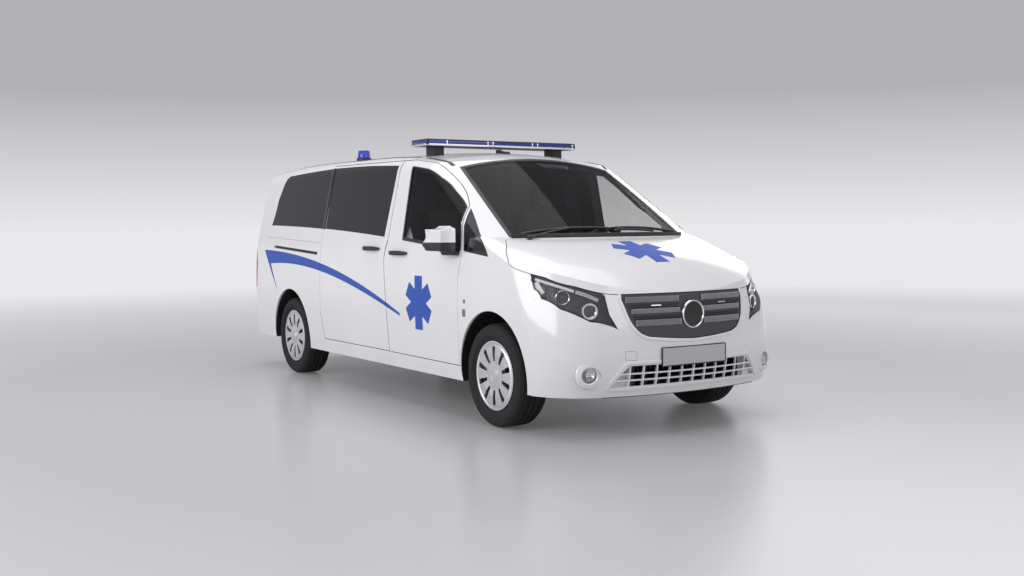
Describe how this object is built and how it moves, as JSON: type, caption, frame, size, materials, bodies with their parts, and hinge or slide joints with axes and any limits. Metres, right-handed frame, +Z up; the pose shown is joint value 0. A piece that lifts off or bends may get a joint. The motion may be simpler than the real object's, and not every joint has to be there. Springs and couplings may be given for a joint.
{
  "type": "ambulance",
  "caption": "Van-bodied ambulance with a short nose, glazed load space, roof light bar and beacon, opening cab doors, bonnet and tailgate, steered front wheels and free-turning road wheels.",
  "frame": {"origin": "on the ground, under the centre of the vehicle's overall box", "axes": "+X towards the front of the vehicle, +Y towards its left side, +Z up"},
  "size_m": [5.3696, 2.272, 1.9759],
  "materials": {
    "white_paint": "glossy white enamel",
    "dark_plastic": "grained black plastic",
    "grey_trim": "grained dark grey trim",
    "lamp_lens": "clear polycarbonate",
    "tail_lens": "clear red lens",
    "clear_glass": "green tinted safety glass",
    "dark_glass": "dark privacy glass",
    "steel_floor": "dark sealed steel",
    "tyre": "satin black rubber",
    "silver_paint": "silver lacquer",
    "cast_iron": "raw casting",
    "black_steel": "black chassis paint",
    "alloy": "raw alloy",
    "seat_fabric": "dark grey woven",
    "plate_metal": "bare reflective sheet",
    "blue_lens": "clear blue lens"
  },
  "bodies": {
    "body": {"sliding_door": "white_paint", "front_lamps": "lamp_lens", "front_fenders": "white_paint", "front_bumper": "white_paint", "radiator_grille": "dark_plastic", "tail_lamps": "tail_lens", "rear_bumper": "white_paint", "roof_panel": "white_paint", "body_side_right": "white_paint", "body_side_left": "white_paint", "door_frames": "grey_trim", "windscreen": "clear_glass", "side_windows": "dark_glass", "underbody": "steel_floor", "dashboard": "grey_trim", "front_subframe": "black_steel", "rear_axle": "black_steel", "engine_block": "alloy", "bulkhead": "grey_trim", "front_seats": "seat_fabric", "steering_wheel": "dark_plastic", "front_plate": "plate_metal", "light_bar": "blue_lens", "beacon": "blue_lens"},
    "cab_door_right": {"door_right": "white_paint", "door_window_right": "clear_glass", "mirror_right": "white_paint"},
    "cab_door_left": {"door_left": "white_paint", "door_window_left": "clear_glass", "mirror_left": "white_paint"},
    "bonnet_lid": {"bonnet": "white_paint"},
    "rear_door": {"tailgate": "white_paint", "tailgate_window": "dark_glass", "rear_plate": "plate_metal"},
    "steering_knuckle_right": {"knuckle_right": "cast_iron"},
    "steering_knuckle_left": {"knuckle_left": "cast_iron"},
    "road_wheel_front_right": {"tyre_front_right": "tyre", "wheel_front_right": "silver_paint"},
    "road_wheel_front_left": {"tyre_front_left": "tyre", "wheel_front_left": "silver_paint"},
    "road_wheel_rear_right": {"tyre_rear_right": "tyre", "wheel_rear_right": "silver_paint"},
    "road_wheel_rear_left": {"tyre_rear_left": "tyre", "wheel_rear_left": "silver_paint"}
  },
  "joints": [
    {"name": "cab_door_right_hinge", "type": "hinge", "parent": "body", "child": "cab_door_right", "pos_m": [1.433, -0.964, 1], "axis": [0, 0, 1], "range_deg": [0, 65]},
    {"name": "cab_door_left_hinge", "type": "hinge", "parent": "body", "child": "cab_door_left", "pos_m": [1.433, 0.964, 1], "axis": [0, 0, -1], "range_deg": [0, 65]},
    {"name": "bonnet_hinge", "type": "hinge", "parent": "body", "child": "bonnet_lid", "pos_m": [1.7, 0, 1.245], "axis": [0, -1, 0], "range_deg": [0, 55]},
    {"name": "rear_door_hinge", "type": "hinge", "parent": "body", "child": "rear_door", "pos_m": [-2.48, 0, 1.815], "axis": [0, 1, 0], "range_deg": [0, 85]},
    {"name": "steering_right", "type": "hinge", "parent": "body", "child": "steering_knuckle_right", "pos_m": [1.79, -0.808, 0.34], "axis": [0, 0, 1], "range_deg": [-35, 35]},
    {"name": "steering_left", "type": "hinge", "parent": "body", "child": "steering_knuckle_left", "pos_m": [1.79, 0.808, 0.34], "axis": [0, 0, 1], "range_deg": [-35, 35]},
    {"name": "wheel_front_right_spin", "type": "hinge", "parent": "steering_knuckle_right", "child": "road_wheel_front_right", "pos_m": [1.79, -0.833, 0.3395], "axis": [0, 1, 0], "continuous": true},
    {"name": "wheel_front_left_spin", "type": "hinge", "parent": "steering_knuckle_left", "child": "road_wheel_front_left", "pos_m": [1.79, 0.833, 0.3395], "axis": [0, 1, 0], "continuous": true},
    {"name": "wheel_rear_right_spin", "type": "hinge", "parent": "body", "child": "road_wheel_rear_right", "pos_m": [-1.64, -0.823, 0.3395], "axis": [0, 1, 0], "continuous": true},
    {"name": "wheel_rear_left_spin", "type": "hinge", "parent": "body", "child": "road_wheel_rear_left", "pos_m": [-1.64, 0.823, 0.3395], "axis": [0, 1, 0], "continuous": true}
  ],
  "couplings": [
    {"joint": "steering_left", "follows": "steering_right", "ratio": 1}
  ]
}
